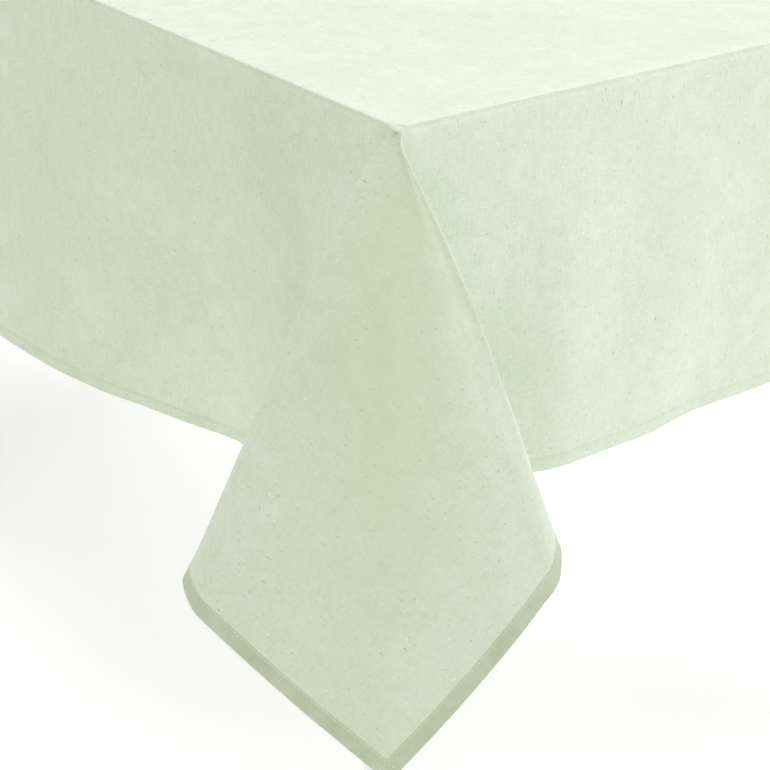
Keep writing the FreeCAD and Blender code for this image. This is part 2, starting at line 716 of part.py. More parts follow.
def write_parts():
    doc.recompute()
    failed = [o.Label for o in doc.Objects if "Invalid" in o.State or "Error" in o.State]
    if failed:
        raise RuntimeError(f"these objects failed: {failed}")
    os.makedirs("parts", exist_ok=True)
    for label, obj in nodes.items():
        check(obj)
        obj.Shape.exportStep(f"parts/{label}.step")
        print(f"{label}: {len(obj.Shape.Solids)} solid(s), {obj.Shape.Volume / 1000:.2f} cm3")


make_table_top()
for name, side_sign, runs_along_x in (
    ("front", -1, True),
    ("back", 1, True),
    ("left", -1, False),
    ("right", 1, False),
):
    make_rail(f"rail_{name}", side_sign, runs_along_x)
for place in CORNERS:
    make_leg(*place)
    make_corner_block(*place)
    make_corner_bolt(*place)
    make_foot(*place)
make_top_screws()
make_cloth()
write_parts()
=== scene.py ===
import math

import bpy
import numpy as np
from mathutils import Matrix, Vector
from mathutils.bvhtree import BVHTree


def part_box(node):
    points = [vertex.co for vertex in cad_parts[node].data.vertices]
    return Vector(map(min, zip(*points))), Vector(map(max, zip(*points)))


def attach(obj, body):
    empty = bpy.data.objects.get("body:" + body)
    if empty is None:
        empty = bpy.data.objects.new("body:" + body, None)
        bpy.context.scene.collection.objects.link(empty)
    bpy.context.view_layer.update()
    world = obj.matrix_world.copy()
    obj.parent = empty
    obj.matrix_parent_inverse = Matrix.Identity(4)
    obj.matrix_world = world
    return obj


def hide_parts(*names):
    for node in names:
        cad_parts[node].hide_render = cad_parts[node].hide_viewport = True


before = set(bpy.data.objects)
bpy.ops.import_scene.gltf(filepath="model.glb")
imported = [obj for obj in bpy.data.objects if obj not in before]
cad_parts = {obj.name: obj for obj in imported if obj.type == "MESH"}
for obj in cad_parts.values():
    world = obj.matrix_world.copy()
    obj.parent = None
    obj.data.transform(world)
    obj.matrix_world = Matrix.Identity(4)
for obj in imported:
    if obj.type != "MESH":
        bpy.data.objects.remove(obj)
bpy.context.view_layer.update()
scene = bpy.context.scene

# ---------------------------------------------------------------- sizes, in metres
_, top_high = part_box("table_top")
cloth_low, cloth_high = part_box("cloth_top")
SURFACE = (cloth_low.z + cloth_high.z) / 2  # the cloth's middle, where it lies on the table
OFF_EDGE = 0.0008                           # from the table's side to the cloth's middle
HALF_X = top_high.x + OFF_EDGE
HALF_Y = top_high.y + OFF_EDGE
FLAT_X, FLAT_Y = 1.8, 1.4                   # the sheet as it was cut
DROP_SHORT = FLAT_X / 2 - HALF_X            # what hangs over the short sides
DROP_LONG = FLAT_Y / 2 - HALF_Y             # and over the long sides
PLAN_R = 0.0125                             # round the table's corner, seen from above
EDGE_R = 0.0075                             # over the table's edge
LIFT = 0.0009                               # how far the cloth stands clear near that edge
TOP_EDGE = 0.017                            # depth at which cloth may start to hang inwards
CLOTH = 0.0006                              # thickness
HEM = 0.011                                 # width of the turned hem
SEAM = HEM - 0.0015                         # from the cloth's edge to the stitches
THREAD_PITCH = 0.00062                      # two threads of the weave
UV_MIDDLE = 1.0                             # the cloth's middle in its UV map

# the kites, each between its long side's fold and its short side's fold
BOW = 0.030                                 # how far the middle stands out before the folds
SET_BACK = 0.5                              # share of the bow by which the whole kite is set back
LONG_END = (0.028, 0.007)                   # how far the folds' ends are drawn down and outwards
SHORT_END = (0.044, 0.016)
ROUND_LONG, ROUND_SHORT = 0.042, 0.048      # how softly the hem turns at the folds' ends
ROUND_REACH = 0.055
CRISP, CRISP_REACH = 0.012, 0.03            # and how softly it would, if the folds stayed crisp
ROOT_SOFT, ROOT_REACH = 0.012, 0.05         # where the hem leaves the side for the fold
LONG_ROOT = -0.012                          # how far the hem hangs in where it does
LONG_SHIFT, SHORT_SHIFT = 0.0085, 0.0055    # how far along the edge the folds start


def unit(v):
    """Each vector at length 1."""
    return v / np.maximum(np.linalg.norm(v, axis=-1, keepdims=True), 1e-12)


def ease(x):
    """From 0 to 1 with soft ends."""
    x = np.clip(x, 0, 1)
    return x * x * (3 - 2 * x)


def cubic(x, y, at):
    """A smooth curve through the points (x, y), flat at both ends."""
    slope = np.zeros_like(y)
    slope[1:-1] = (y[2:] - y[:-2]) / (x[2:] - x[:-2])
    i = np.clip(np.searchsorted(x, at) - 1, 0, len(x) - 2)
    d = x[i + 1] - x[i]
    u = np.clip((at - x[i]) / d, 0, 1)
    return ((2 * u**3 - 3 * u**2 + 1) * y[i] + (u**3 - 2 * u**2 + u) * d * slope[i]
            + (3 * u**2 - 2 * u**3) * y[i + 1] + (u**3 - u**2) * d * slope[i + 1])


def smooth(pts, s, half):
    """A moving mean along a line, with a half width that varies."""
    steps = (pts[1:] + pts[:-1]) / 2 * np.diff(s)[:, None]
    cum = np.concatenate([np.zeros((1, pts.shape[1])), np.cumsum(steps, axis=0)])
    half = np.minimum(half, np.minimum(s - s[0], s[-1] - s))
    out = pts.copy()
    on = half > 1e-5
    lo, hi = s[on] - half[on], s[on] + half[on]
    for i in range(pts.shape[1]):
        out[on, i] = (np.interp(hi, s, cum[:, i]) - np.interp(lo, s, cum[:, i])) / (hi - lo)
    return out


def lengths(pts):
    """The length along a line at each of its points."""
    return np.concatenate([[0], np.cumsum(np.linalg.norm(np.diff(pts, axis=0), axis=1))])


def bend(start, n, d, dist, radius):
    """A thread that leaves start along n and turns to d over an arc, dist along it."""
    cos = np.clip((n * d).sum(-1), -1, 1)
    arc = np.maximum(radius * np.arccos(cos), 1e-6)
    a = np.minimum(dist, arc) / radius
    side = unit(d - n * cos[..., None])
    pos = start + (radius * np.sin(a))[..., None] * n + (radius * (1 - np.cos(a)))[..., None] * side
    tangent = n * np.cos(a)[..., None] + side * np.sin(a)[..., None]
    return pos + np.maximum(dist - arc, 0)[..., None] * tangent


# ---------------------------------------------------------------- how the cloth hangs
class Corner:
    """The cloth around one corner of the table, with x out over the short side, y out over
    the long side and z up. The cloth that is left over at the corner stands out as a kite
    between two folds, and p and q are its threads' places beyond the two edges."""

    def __init__(self, lean, turn, half_long, half_short, long_wave, short_wave, short_root=0.0):
        """In degrees, lean is the kite's angle off the vertical, turn its turn towards the
        short side's direction, and half_long and half_short are its two halves. A wave
        lists how far the hem hangs out at places along a side, from the table's corner."""
        azimuth, off = math.radians(45 - turn), math.radians(lean)
        out = np.array([math.cos(azimuth), math.sin(azimuth), 0.0])
        across = np.array([math.sin(azimuth), -math.cos(azimuth), 0.0])
        down = out * math.sin(off) + np.array([0, 0, -math.cos(off)])
        facing = out * math.cos(off) + np.array([0, 0, math.sin(off)])
        mid = math.atan2(DROP_SHORT, DROP_LONG)
        a, b = math.radians(half_long), math.radians(half_short)
        # where the folds meet the hem, first as threads and then in space
        self.p1 = DROP_LONG * math.tan(mid - a)
        self.q2 = DROP_SHORT / math.tan(mid + b)
        fold1 = DROP_LONG / math.cos(mid - a) * (down * math.cos(a) - across * math.sin(a))
        fold2 = DROP_SHORT / math.sin(mid + b) * (down * math.cos(b) + across * math.sin(b))
        fold1 = fold1 - facing * BOW * SET_BACK + down * LONG_END[0] - across * LONG_END[1]
        fold2 = fold2 - facing * BOW * SET_BACK + down * SHORT_END[0] + across * SHORT_END[1]
        tip = down * math.hypot(DROP_LONG, DROP_SHORT) - facing * BOW * SET_BACK
        self.ray1 = math.atan2(self.p1, DROP_LONG)
        self.ray2 = math.atan2(DROP_SHORT, self.q2)
        k = np.linspace(0, 1, 260)[1:, None]
        kite = np.concatenate([fold1 + (tip - fold1) * k, tip + (fold2 - tip) * k])
        lateral = np.arctan2(kite @ across, kite @ down)
        lateral = np.where(lateral < 0, lateral / a, lateral / b)
        reach = np.linalg.norm(kite, axis=1) / np.linalg.norm(tip)
        profile = 1 - 0.45 * lateral**2 - 0.55 * np.abs(lateral) ** 5
        kite += facing * (profile * BOW * reach)[:, None]
        long_side = self.side_hem(fold1[[0, 1]], HALF_X, DROP_LONG, self.p1, long_wave, LONG_ROOT)
        short_side = self.side_hem(fold2[[1, 0]], HALF_Y, DROP_SHORT, self.q2, short_wave, short_root)
        self.join_hem(long_side, kite, k[:, 0], short_side)

    def join_hem(self, long_side, kite, k, short_side):
        """The whole hem as one line, over h, which is 0 at the tip and counts threads."""
        (long_hem, long_at), (short_hem, short_at) = long_side, short_side
        at1, at2 = self.p1 - DROP_SHORT, DROP_LONG - self.q2
        pts = np.concatenate([long_hem, kite, short_hem[:, [1, 0, 2]][::-1][1:]])
        h = np.concatenate([long_at - DROP_SHORT, at1 * (1 - k), at2 * k,
                            (DROP_LONG - short_at)[::-1][1:]])
        grid = np.linspace(h[0], h[-1], 4000)
        pts = np.stack([np.interp(grid, h, pts[:, i]) for i in range(3)], 1)

        def near(at, reach):
            return np.exp(-((grid - at) / reach) ** 2)

        soft = ROUND_LONG * near(at1, ROUND_REACH) + ROUND_SHORT * near(at2, ROUND_REACH)
        crisp = CRISP * (near(at1, CRISP_REACH) + near(at2, CRISP_REACH))
        self.h, self.hem, self.crisp = grid, smooth(pts, grid, soft), smooth(pts, grid, crisp)

    def side_hem(self, fold, half, drop, fold_at, wave, root):
        """The hem from the middle of a side to the fold, and its threads' places. It leaves
        the side where its length comes out right."""
        wave_x, wave_y = np.array(sorted(wave), float).T

        def path(turn_at):
            """The hem that leaves the side at turn_at, and its length over the cloth's."""
            xs = np.linspace(-half, turn_at, 400)
            k = ease((xs - (turn_at - 0.10)) / 0.10)
            a = np.stack([xs, cubic(wave_x, wave_y, xs) * (1 - k) + root * k], 1)
            pts = np.concatenate([a, a[-1] + (fold - a[-1]) * np.linspace(0, 1, 200)[1:, None]])
            s = lengths(pts)
            grid = np.linspace(0, s[-1], 1400)
            pts = np.stack([np.interp(grid, s, pts[:, i]) for i in (0, 1)], 1)
            pts = smooth(pts, grid, ROOT_SOFT * np.exp(-((grid - s[len(xs) - 1]) / ROOT_REACH) ** 2))
            t = -half + (half + fold_at) * grid / grid[-1]
            for _ in range(6):
                flat2 = (pts[:, 0] - np.minimum(t, 0)) ** 2 + pts[:, 1] ** 2
                z = -np.sqrt(np.maximum(drop**2 + np.maximum(t, 0) ** 2 - flat2, 1e-6))
                hem = np.column_stack([pts, z])
                along = lengths(hem)
                t = -half + (half + fold_at) * along / along[-1]
            return hem, t, along[-1] / (half + fold_at)

        lo, hi = -0.16, 0.06
        for _ in range(30):
            middle = (lo + hi) / 2
            if path(middle)[2] > 1:
                hi = middle
            else:
                lo = middle
        return path((lo + hi) / 2)[:2]

    def hem_at(self, h, share):
        """Where a thread heads for. The folds are crisp at the table and roll open below."""
        k = ease((share - 0.15) / 0.85)[:, None]
        ends = [np.stack([np.interp(h, self.h, hem[:, i]) for i in range(3)], -1)
                for hem in (self.crisp, self.hem)]
        return ends[0] * (1 - k) + ends[1] * k

    def line(self, along, beyond, side):
        """Threads that cross one edge, in that side's axes: along, out and up."""
        ang = np.clip((along + PLAN_R) / PLAN_R, 0, 1) * (math.pi / 4)
        n = np.stack([np.sin(ang), np.cos(ang), np.zeros_like(ang)], -1)
        start = np.stack([np.minimum(along, -PLAN_R), np.full_like(along, -PLAN_R),
                          np.zeros_like(along)], -1) + n * (PLAN_R - EDGE_R + LIFT)
        if side == "long":
            hem = self.hem_at(along - DROP_SHORT, beyond / DROP_LONG)
        else:
            hem = self.hem_at(DROP_LONG - along, beyond / DROP_SHORT)[:, [1, 0, 2]]
        out = bend(start, n, unit(hem - start - n * EDGE_R), beyond + EDGE_R, EDGE_R)
        # cloth that hangs inwards does so from the top's lower edge
        inwards = ease((-out[:, 2] - TOP_EDGE) / 0.07)
        out[:, 1] = np.where(out[:, 1] < 0, out[:, 1] * inwards, out[:, 1])
        return out

    def spread(self, p, q):
        """The folds start a little way along the edge, not in one point."""
        ang, d = np.arctan2(p, q), np.hypot(p, q)
        d = np.where((p <= 0) & (q <= 0), 0, d)
        left = np.exp(-((ang - self.ray1) / 0.24) ** 2) * ease(d / 0.018) * np.clip(1 - d / 0.36, 0, 1)
        right = np.exp(-((ang - self.ray2) / 0.20) ** 2) * ease(d / 0.015) * np.exp(-d / 0.09)
        return (left[:, None] * np.array([-0.94, 0.34, 0]) * LONG_SHIFT
                + right[:, None] * np.array([-0.1, 1.0, 0]) * SHORT_SHIFT)

    def fan(self, p, q):
        """The threads beyond both edges, which all come from the corner."""
        on_long = q / DROP_LONG >= p / DROP_SHORT
        s = np.where(on_long, q / DROP_LONG, p / DROP_SHORT)
        hem = self.hem_at(np.where(on_long, p / s - DROP_SHORT, DROP_LONG - q / s), s)
        n = np.broadcast_to(np.array([math.sqrt(0.5), math.sqrt(0.5), 0.0]), hem.shape)
        start = np.array([-PLAN_R, -PLAN_R, 0.0]) + n * (PLAN_R - EDGE_R + LIFT)
        return bend(start, n, unit(hem - start - n * EDGE_R), np.hypot(p, q) + EDGE_R, EDGE_R)

    def flat(self, p, q):
        """The cloth on the table, following its rounded corner in plan."""
        a, b = p + PLAN_R, q + PLAN_R
        x, y = p.copy(), q.copy()
        k = (a > 0) & (b > 0)
        m, low = np.maximum(a[k], b[k]), np.minimum(a[k], b[k])
        ang = np.where(b[k] >= a[k], low / m * math.pi / 4, math.pi / 2 - low / m * math.pi / 4)
        x[k] = -PLAN_R + m * np.sin(ang)
        y[k] = -PLAN_R + m * np.cos(ang)
        out = np.stack([x, y, np.zeros_like(x)], -1)
        k = (q > -EDGE_R) & (q >= p)
        out[k] = self.line(p[k], q[k], "long")
        k = (p > -EDGE_R) & (p > q)
        out[k] = self.line(q[k], p[k], "short")[:, [1, 0, 2]]
        return out

    def at(self, p, q):
        """Where the cloth is at threads p and q, from the table's corner."""
        out = np.zeros(p.shape + (3,))
        k = (p <= 0) & (q <= 0)
        out[k] = self.flat(p[k], q[k])
        k = (q > 0) & (p <= 0)
        out[k] = self.line(p[k], q[k], "long")
        k = (p > 0) & (q <= 0)
        out[k] = self.line(q[k], p[k], "short")[:, [1, 0, 2]]
        k = (p > 0) & (q > 0)
        out[k] = self.fan(p[k], q[k])
        out = out + self.spread(p, q)
        # starched cloth stands a little clear of the edge that it bends over
        out[:, 2] += LIFT * ease((np.maximum(p, q) + 0.035) / 0.026)
        return out


# how the hem hangs out along each side: place from the corner, and how far
FRONT = [(-0.63, 0.004), (-0.565, 0.0054), (-0.481, 0.003), (-0.412, -0.0051), (-0.357, -0.0191),
         (-0.303, -0.0323), (-0.255, -0.042), (-0.18, -0.035), (0.2, 0.0)]
RIGHT = [(-0.37, -0.009), (-0.30, -0.0055), (-0.227, 0.0024), (-0.173, 0.010), (-0.137, 0.010),
         (-0.108, 0.003), (-0.05, -0.006), (0.2, 0.0)]
CORNERS = {  # by the signs of x and y
    (1, -1): Corner(13.1, 6.4, 25.6, 23.4, FRONT, RIGHT, short_root=-0.007),
    (-1, -1): Corner(12.4, 5.2, 24.6, 23.2,
                     [(-0.63, 0.004), (-0.55, -0.001), (-0.47, -0.012), (-0.38, -0.016),
                      (-0.29, -0.006), (-0.22, -0.012), (-0.16, -0.020), (0.2, 0.0)],
                     [(-0.37, 0.004), (-0.30, -0.002), (-0.23, -0.010), (-0.17, -0.006),
                      (-0.11, 0.002), (0.2, 0.0)]),
    (1, 1): Corner(13.4, 5.8, 25.2, 22.8,
                   [(-0.63, -0.006), (-0.54, 0.002), (-0.45, 0.004), (-0.36, -0.008),
                    (-0.27, -0.020), (-0.19, -0.016), (0.2, 0.0)],
                   [(-0.37, -0.009), (-0.31, -0.012), (-0.25, -0.006), (-0.19, 0.003),
                    (-0.13, 0.004), (0.2, 0.0)]),
    (-1, 1): Corner(12.0, 6.8, 26.0, 22.0,
                    [(-0.63, -0.006), (-0.55, -0.014), (-0.46, -0.008), (-0.36, 0.003),
                     (-0.27, -0.010), (-0.20, -0.022), (0.2, 0.0)],
                    [(-0.37, 0.004), (-0.31, 0.008), (-0.24, 0.001), (-0.18, -0.008),
                     (-0.12, -0.004), (0.2, 0.0)]),
}


def noise(x, y, seed):
    """Smooth noise from -1 to 1, one cell a unit."""
    grid = np.random.RandomState(seed).rand(128, 128) * 2 - 1
    x, y = np.asarray(x) + 31.7, np.asarray(y) + 17.3
    i, j = np.floor(x).astype(int), np.floor(y).astype(int)
    u, v = x - i, y - j
    u, v = u**3 * (u * (6 * u - 15) + 10), v**3 * (v * (6 * v - 15) + 10)

    def g(a, b):
        return grid[a % 128, b % 128]

    return ((g(i, j) * (1 - u) + g(i + 1, j) * u) * (1 - v)
            + (g(i, j + 1) * (1 - u) + g(i + 1, j + 1) * u) * v)


def graded(length, step, ends=(0, 0.0014, 0.0028, 0.0042, 0.0065, 0.0095, 0.0125, 0.017, 0.023)):
    """Places from -length to 0, close together towards 0."""
    inner = np.linspace(length, ends[-1], max(2, round((length - ends[-1]) / step)))[:-1]
    return -np.concatenate([inner, ends[::-1]])


def cloth_points():
    """The sheet's grid, block by block: material places, points in space, faces. The hems
    have their own rows, and so have the folds."""
    top_p = graded(HALF_X, 0.0105)
    top_q = graded(HALF_Y, 0.0105)
    inner_s, inner_l = DROP_SHORT - HEM, DROP_LONG - HEM
    # levels down a drop as shares, close together at the table's edge and at the hem
    near = np.array([0, .0013, .0026, .004, .006, .009, .013, .018, .024]) / inner_l
    far = 1 - np.array([.006, .003, .0012, 0]) / inner_l
    level = np.concatenate([near, np.linspace(near[-1], far[0], 43)[1:-1], far])
    hem = np.array([.0008, .002, .0045, .007, .009, .0103, HEM])
    blocks = []
    for (sx, sy), corner in CORNERS.items():
        def block(p, q, turned):
            p, q = np.broadcast_arrays(p, q)
            local = corner.at(p.ravel(), q.ravel())
            mat = np.stack([sx * (HALF_X + p.ravel()), sy * (HALF_Y + q.ravel())], -1)
            world = np.stack([sx * (HALF_X + local[:, 0]), sy * (HALF_Y + local[:, 1]),
                              SURFACE + local[:, 2]], -1)
            idx = np.arange(p.size).reshape(p.shape)
            quads = np.stack([idx[:-1, :-1], idx[1:, :-1], idx[1:, 1:], idx[:-1, 1:]], -1)
            quads = quads.reshape(-1, 4)
            if (sx * sy < 0) != turned:
                quads = quads[:, ::-1]
            blocks.append((mat, world, quads))

        block(top_p[:, None], top_q[None, :], False)
        drop_q = np.concatenate([level * inner_l, inner_l + hem])
        drop_p = np.concatenate([level * inner_s, inner_s + hem])
        block(top_p[:, None], drop_q[None, :], False)
        block(drop_p[:, None], top_q[None, :], False)
        # rays of the kite, with one along each fold
        r1 = corner.p1 * inner_l / DROP_LONG
        r2 = corner.q2 * inner_s / DROP_SHORT

        def rays(a, b, step):
            return np.linspace(a, b, max(3, round(abs(b - a) / step) + 1))

        ray_p = np.concatenate([rays(0, r1, .0065), rays(r1, inner_s, .008)[1:]])
        ray_q = np.concatenate([rays(inner_l, r2, .008), rays(r2, 0, .0065)[1:]])
        down = level[:, None]
        block(down * ray_p[None, :], down * np.full_like(ray_p, inner_l)[None, :], True)
        block(down * np.full_like(ray_q, inner_s)[None, :], down * ray_q[None, :], True)
        hem_rows = np.concatenate([[0], hem])
        block(ray_p[:, None], (inner_l + hem_rows)[None, :], False)
        block((inner_s + hem_rows)[:, None], ray_q[::-1][None, :], False)
        block((inner_s + hem_rows)[:, None], (inner_l + hem_rows)[None, :], False)
    mats = np.concatenate([b[0] for b in blocks])
    world = np.concatenate([b[1] for b in blocks])
    base = np.cumsum([0] + [len(b[0]) for b in blocks])
    quads = np.concatenate([b[2] + base[i] for i, b in enumerate(blocks)])
    # points at one material place, to the nearest 5 micrometres, become one
    _, inverse = np.unique(np.round(mats * 2e5).astype(int), axis=0, return_inverse=True)
    inverse = inverse.ravel()
    count = np.bincount(inverse).astype(float)
    pos = np.stack([np.bincount(inverse, world[:, i]) / count for i in range(3)], -1)
    mat = np.stack([np.bincount(inverse, mats[:, i]) / count for i in range(2)], -1)
    faces = []
    for quad in inverse[quads].tolist():
        face = [v for i, v in enumerate(quad) if v != quad[i - 1]]
        if len(set(face)) >= 3:
            faces.append(face)
    return mat, pos, faces


def vertex_normals(pos, faces):
    """Normals by the faces' area."""
    tri = np.array([f[:3] for f in faces] + [[f[0], f[2], f[3]] for f in faces if len(f) == 4])
    n = np.cross(pos[tri[:, 1]] - pos[tri[:, 0]], pos[tri[:, 2]] - pos[tri[:, 0]])
    out = np.zeros_like(pos)
    for i in range(3):
        np.add.at(out, tri[:, i], n)
    return unit(out)


def creases(x, y):
    """Faint crumples on the top: place, direction, length, width and height in mm."""
    out = np.zeros_like(x)
    for cx, cy, deg, long_, wide, high in (
            (0.10, -0.22, 32, 0.10, 0.010, 0.7), (0.16, -0.17, 20, 0.07, 0.008, -0.5),
            (0.36, 0.02, 75, 0.09, 0.010, 0.6), (0.41, 0.10, 60, 0.06, 0.008, 0.5),
            (-0.25, 0.11, 15, 0.10, 0.012, 0.5), (-0.42, -0.14, 100, 0.08, 0.010, 0.6),
            (0.02, 0.21, 160, 0.09, 0.010, 0.5), (-0.10, -0.06, 50, 0.07, 0.010, 0.4)):
        c, s = math.cos(math.radians(deg)), math.sin(math.radians(deg))
        a, b = (x - cx) * c + (y - cy) * s, -(x - cx) * s + (y - cy) * c
        b = b + 0.06 * a * a / long_ + 0.004 * noise(a / 0.03, b * 0 + cx * 10, 5)
        out += high * 0.001 * np.exp(-(a / long_) ** 2 - (b / wide) ** 2)
    return out


def relief(x, y):
    """How far the cloth stands out from its smooth shape, at each material place."""
    beyond = np.maximum(np.abs(x) - HALF_X, np.abs(y) - HALF_Y)
    to_edge = np.minimum(FLAT_X / 2 - np.abs(x), FLAT_Y / 2 - np.abs(y))
    in_hem = 1 - ease((to_edge - (HEM - 0.0009)) / 0.0012)
    hanging = ease((beyond - 0.012) / 0.12)
    lying = ease((-beyond - 0.010) / 0.05)
    ripple = (0.0013 * noise(x / 0.10, y / 0.16, 1) + 0.0006 * noise(x / 0.035, y / 0.05, 2)
              + 0.00025 * noise(x / 0.012, y / 0.016, 3))
    pucker = 0.00012 * np.sin((x + y) / 0.0042 * math.pi) * np.exp(-((to_edge - SEAM) / 0.004) ** 2)
    uneven = 0.0004 + 0.0004 * noise(x / 0.16, y / 0.13, 4) + 0.0003 * noise(x / 0.05, y / 0.045, 7)
    out = hanging * ripple + lying * np.maximum(uneven + creases(x, y), 0) + 0.0002 * in_hem + pucker
    # slow waves across the right-hand drop, near the front
    phase = (y + 0.18 * beyond + 0.214) / 0.115 * 2 * math.pi
    wave = 0.0024 * ease((x - HALF_X - 0.02) / 0.12) * np.cos(phase)
    return out + wave * np.exp(-((y + 0.15) / 0.11) ** 2)


mat, pos, faces = cloth_points()
normal = vertex_normals(pos, faces)
if normal[np.argmin(np.abs(mat).sum(1))][2] < 0:
    faces = [f[::-1] for f in faces]
    normal = -normal
pos = pos + normal * relief(mat[:, 0], mat[:, 1])[:, None]


def make(name, verts, polygons, uv=None, soft=True):
    """A mesh object, with a UV for each point where uv is given."""
    mesh = bpy.data.meshes.new(name)
    mesh.from_pydata([tuple(v) for v in np.asarray(verts).tolist()], [], polygons)
    if uv is not None:
        layer = mesh.uv_layers.new(name="UVMap")
        loops = np.zeros(len(mesh.loops), int)
        mesh.loops.foreach_get("vertex_index", loops)
        layer.data.foreach_set("uv", np.asarray(uv)[loops].astype(np.float32).ravel())
    mesh.polygons.foreach_set("use_smooth", [soft] * len(mesh.polygons))
    mesh.update()
    obj = bpy.data.objects.new(name, mesh)
    scene.collection.objects.link(obj)
    return obj


tablecloth = make("tablecloth", pos, faces, mat + UV_MIDDLE)
sub = tablecloth.modifiers.new("subdivision", "SUBSURF")
sub.levels = sub.render_levels = 1
sub.boundary_smooth = "PRESERVE_CORNERS"
thick = tablecloth.modifiers.new("thickness", "SOLIDIFY")
thick.thickness = CLOTH
thick.offset = 0

# ---------------------------------------------------------------- hems and their stitches
flat_tree = BVHTree.FromPolygons([(x, y, 0) for x, y in mat.tolist()], faces)
normal = vertex_normals(pos, faces)


def on_cloth(x, y):
    """The point of the hung cloth at a material place, and its outward normal there."""
    lim_x, lim_y = FLAT_X / 2 - 1e-5, FLAT_Y / 2 - 1e-5
    x, y = min(max(x, -lim_x), lim_x), min(max(y, -lim_y), lim_y)
    index = flat_tree.ray_cast(Vector((x, y, 1)), Vector((0, 0, -1)))[2]
    if index is None:
        index = flat_tree.find_nearest(Vector((x, y, 0)))[2]
    face = faces[index]
    best = None
    for tri in ([face[0], face[1], face[2]], [face[0], face[2], face[-1]]):
        m = mat[tri]
        d = np.array([m[1] - m[0], m[2] - m[0]]).T
        det = d[0, 0] * d[1, 1] - d[0, 1] * d[1, 0]
        if abs(det) < 1e-14:
            continue
        ex, ey = x - m[0, 0], y - m[0, 1]
        b = (d[1, 1] * ex - d[0, 1] * ey) / det
        c = (-d[1, 0] * ex + d[0, 0] * ey) / det
        w = np.array([1 - b - c, b, c])
        if best is None or w.min() > best[0]:
            best = (w.min(), tri, w)
    _, tri, w = best
    return w @ pos[tri], unit(w @ normal[tri])


SIDES = {  # name: material points of the hem's two ends, and the way out of the cloth
    "front": ((-1, -1), (1, -1), (0, -1)), "right": ((1, -1), (1, 1), (1, 0)),
    "back": ((1, 1), (-1, 1), (0, 1)), "left": ((-1, 1), (-1, -1), (-1, 0)),
}
# the turned edge: distance in from the fold, distance from the cloth's middle
TURNED = ((HEM, -.0006), (HEM - .0012, -.0009), (HEM * .6, -.00095), (.0022, -.00095),
          (.0010, -.00085), (.0004, -.0007), (.0001, -.0004), (.0, -.0001), (.0, .0001))


def side_line(side):
    """A side's first corner, its way out and along, and its length, on the flat cloth."""
    (ax, ay), (bx, by), out = SIDES[side]
    a = np.array([ax * FLAT_X / 2, ay * FLAT_Y / 2])
    b = np.array([bx * FLAT_X / 2, by * FLAT_Y / 2])
    return a, np.array(out, float), unit(b - a), np.linalg.norm(b - a)


def build_hem(side):
    """The turned strip behind one side's edge, mitred at both ends."""
    a, out, along, length = side_line(side)
    n = round(length / 0.006)
    verts, uvs = [], []
    for i in range(n + 1):
        for d, off in TURNED:
            room = max(d, 0.0)
            t = room + (length - 2 * room) * i / n
            m = a + along * t - out * room
            p, nrm = on_cloth(*m)
            if d < 0.0021:
                p2, _ = on_cloth(*(m - out * 0.0015))
                p1, _ = on_cloth(*(m - out * 0.0001))
                p = p1 + unit(p1 - p2) * (-d + room)
            verts.append(p + nrm * off)
            uvs.append(m + out * (room - d) + UV_MIDDLE)
    k = len(TURNED)
    quads = [[i * k + j, i * k + j + 1, (i + 1) * k + j + 1, (i + 1) * k + j]
             for i in range(n) for j in range(k - 1)]
    obj = make("hem_" + side + "_turned", verts, quads, uvs)
    thick = obj.modifiers.new("thickness", "SOLIDIFY")
    thick.thickness = 0.0004
    thick.offset = 0
    return obj


def build_stitches(side):
    """A lockstitch on each face, dash by dash, along the inner edge of the hem."""
    a, out, along, length = side_line(side)
    pitch, dash, r = 0.0034, 0.0027, 0.00024
    first = 0.0022
    n = int((length - 2 * first) / pitch)
    # along the dash, share of the radius, and height over the cloth in radii
    rings = [(-0.5, 0.25, -.5), (-0.38, 0.8, .15), (0, 1.0, .45), (0.38, 0.8, .15), (0.5, 0.25, -.5)]
    verts, quads = [], []
    slant = noise(np.arange(n) * 0.9, np.zeros(n), 11)
    for i in range(n):
        t = first + pitch * (i + 0.5)
        m0 = a + along * (t - dash / 2) - out * (SEAM + 0.00012 * slant[i])
        m1 = a + along * (t + dash / 2) - out * (SEAM - 0.00012 * slant[i])
        p0, n0 = on_cloth(*m0)
        p1, n1 = on_cloth(*m1)
        up_way = unit(n0 + n1)
        side_way = np.cross(unit(p1 - p0), up_way)
        for face_side, depth in ((1, CLOTH / 2), (-1, 0.00115)):
            start = len(verts)
            for f, w, up in rings:
                c = p0 + (p1 - p0) * (f + 0.5) + up_way * face_side * (depth + r * up)
                for j in range(6):
                    an = j * math.pi / 3
                    verts.append(c + (side_way * math.cos(an) + up_way * math.sin(an)) * r * w)
            for k in range(4):
                for j in range(6):
                    j2 = (j + 1) % 6
                    quads.append([start + k * 6 + j, start + k * 6 + j2,
                                  start + (k + 1) * 6 + j2, start + (k + 1) * 6 + j])
            quads.append([start + j for j in range(5, -1, -1)])
            quads.append([start + 24 + j for j in range(6)])
    return make("hem_stitching_" + side + "_thread", verts, quads)


hems = {side: build_hem(side) for side in SIDES}
threads = {side: build_stitches(side) for side in SIDES}


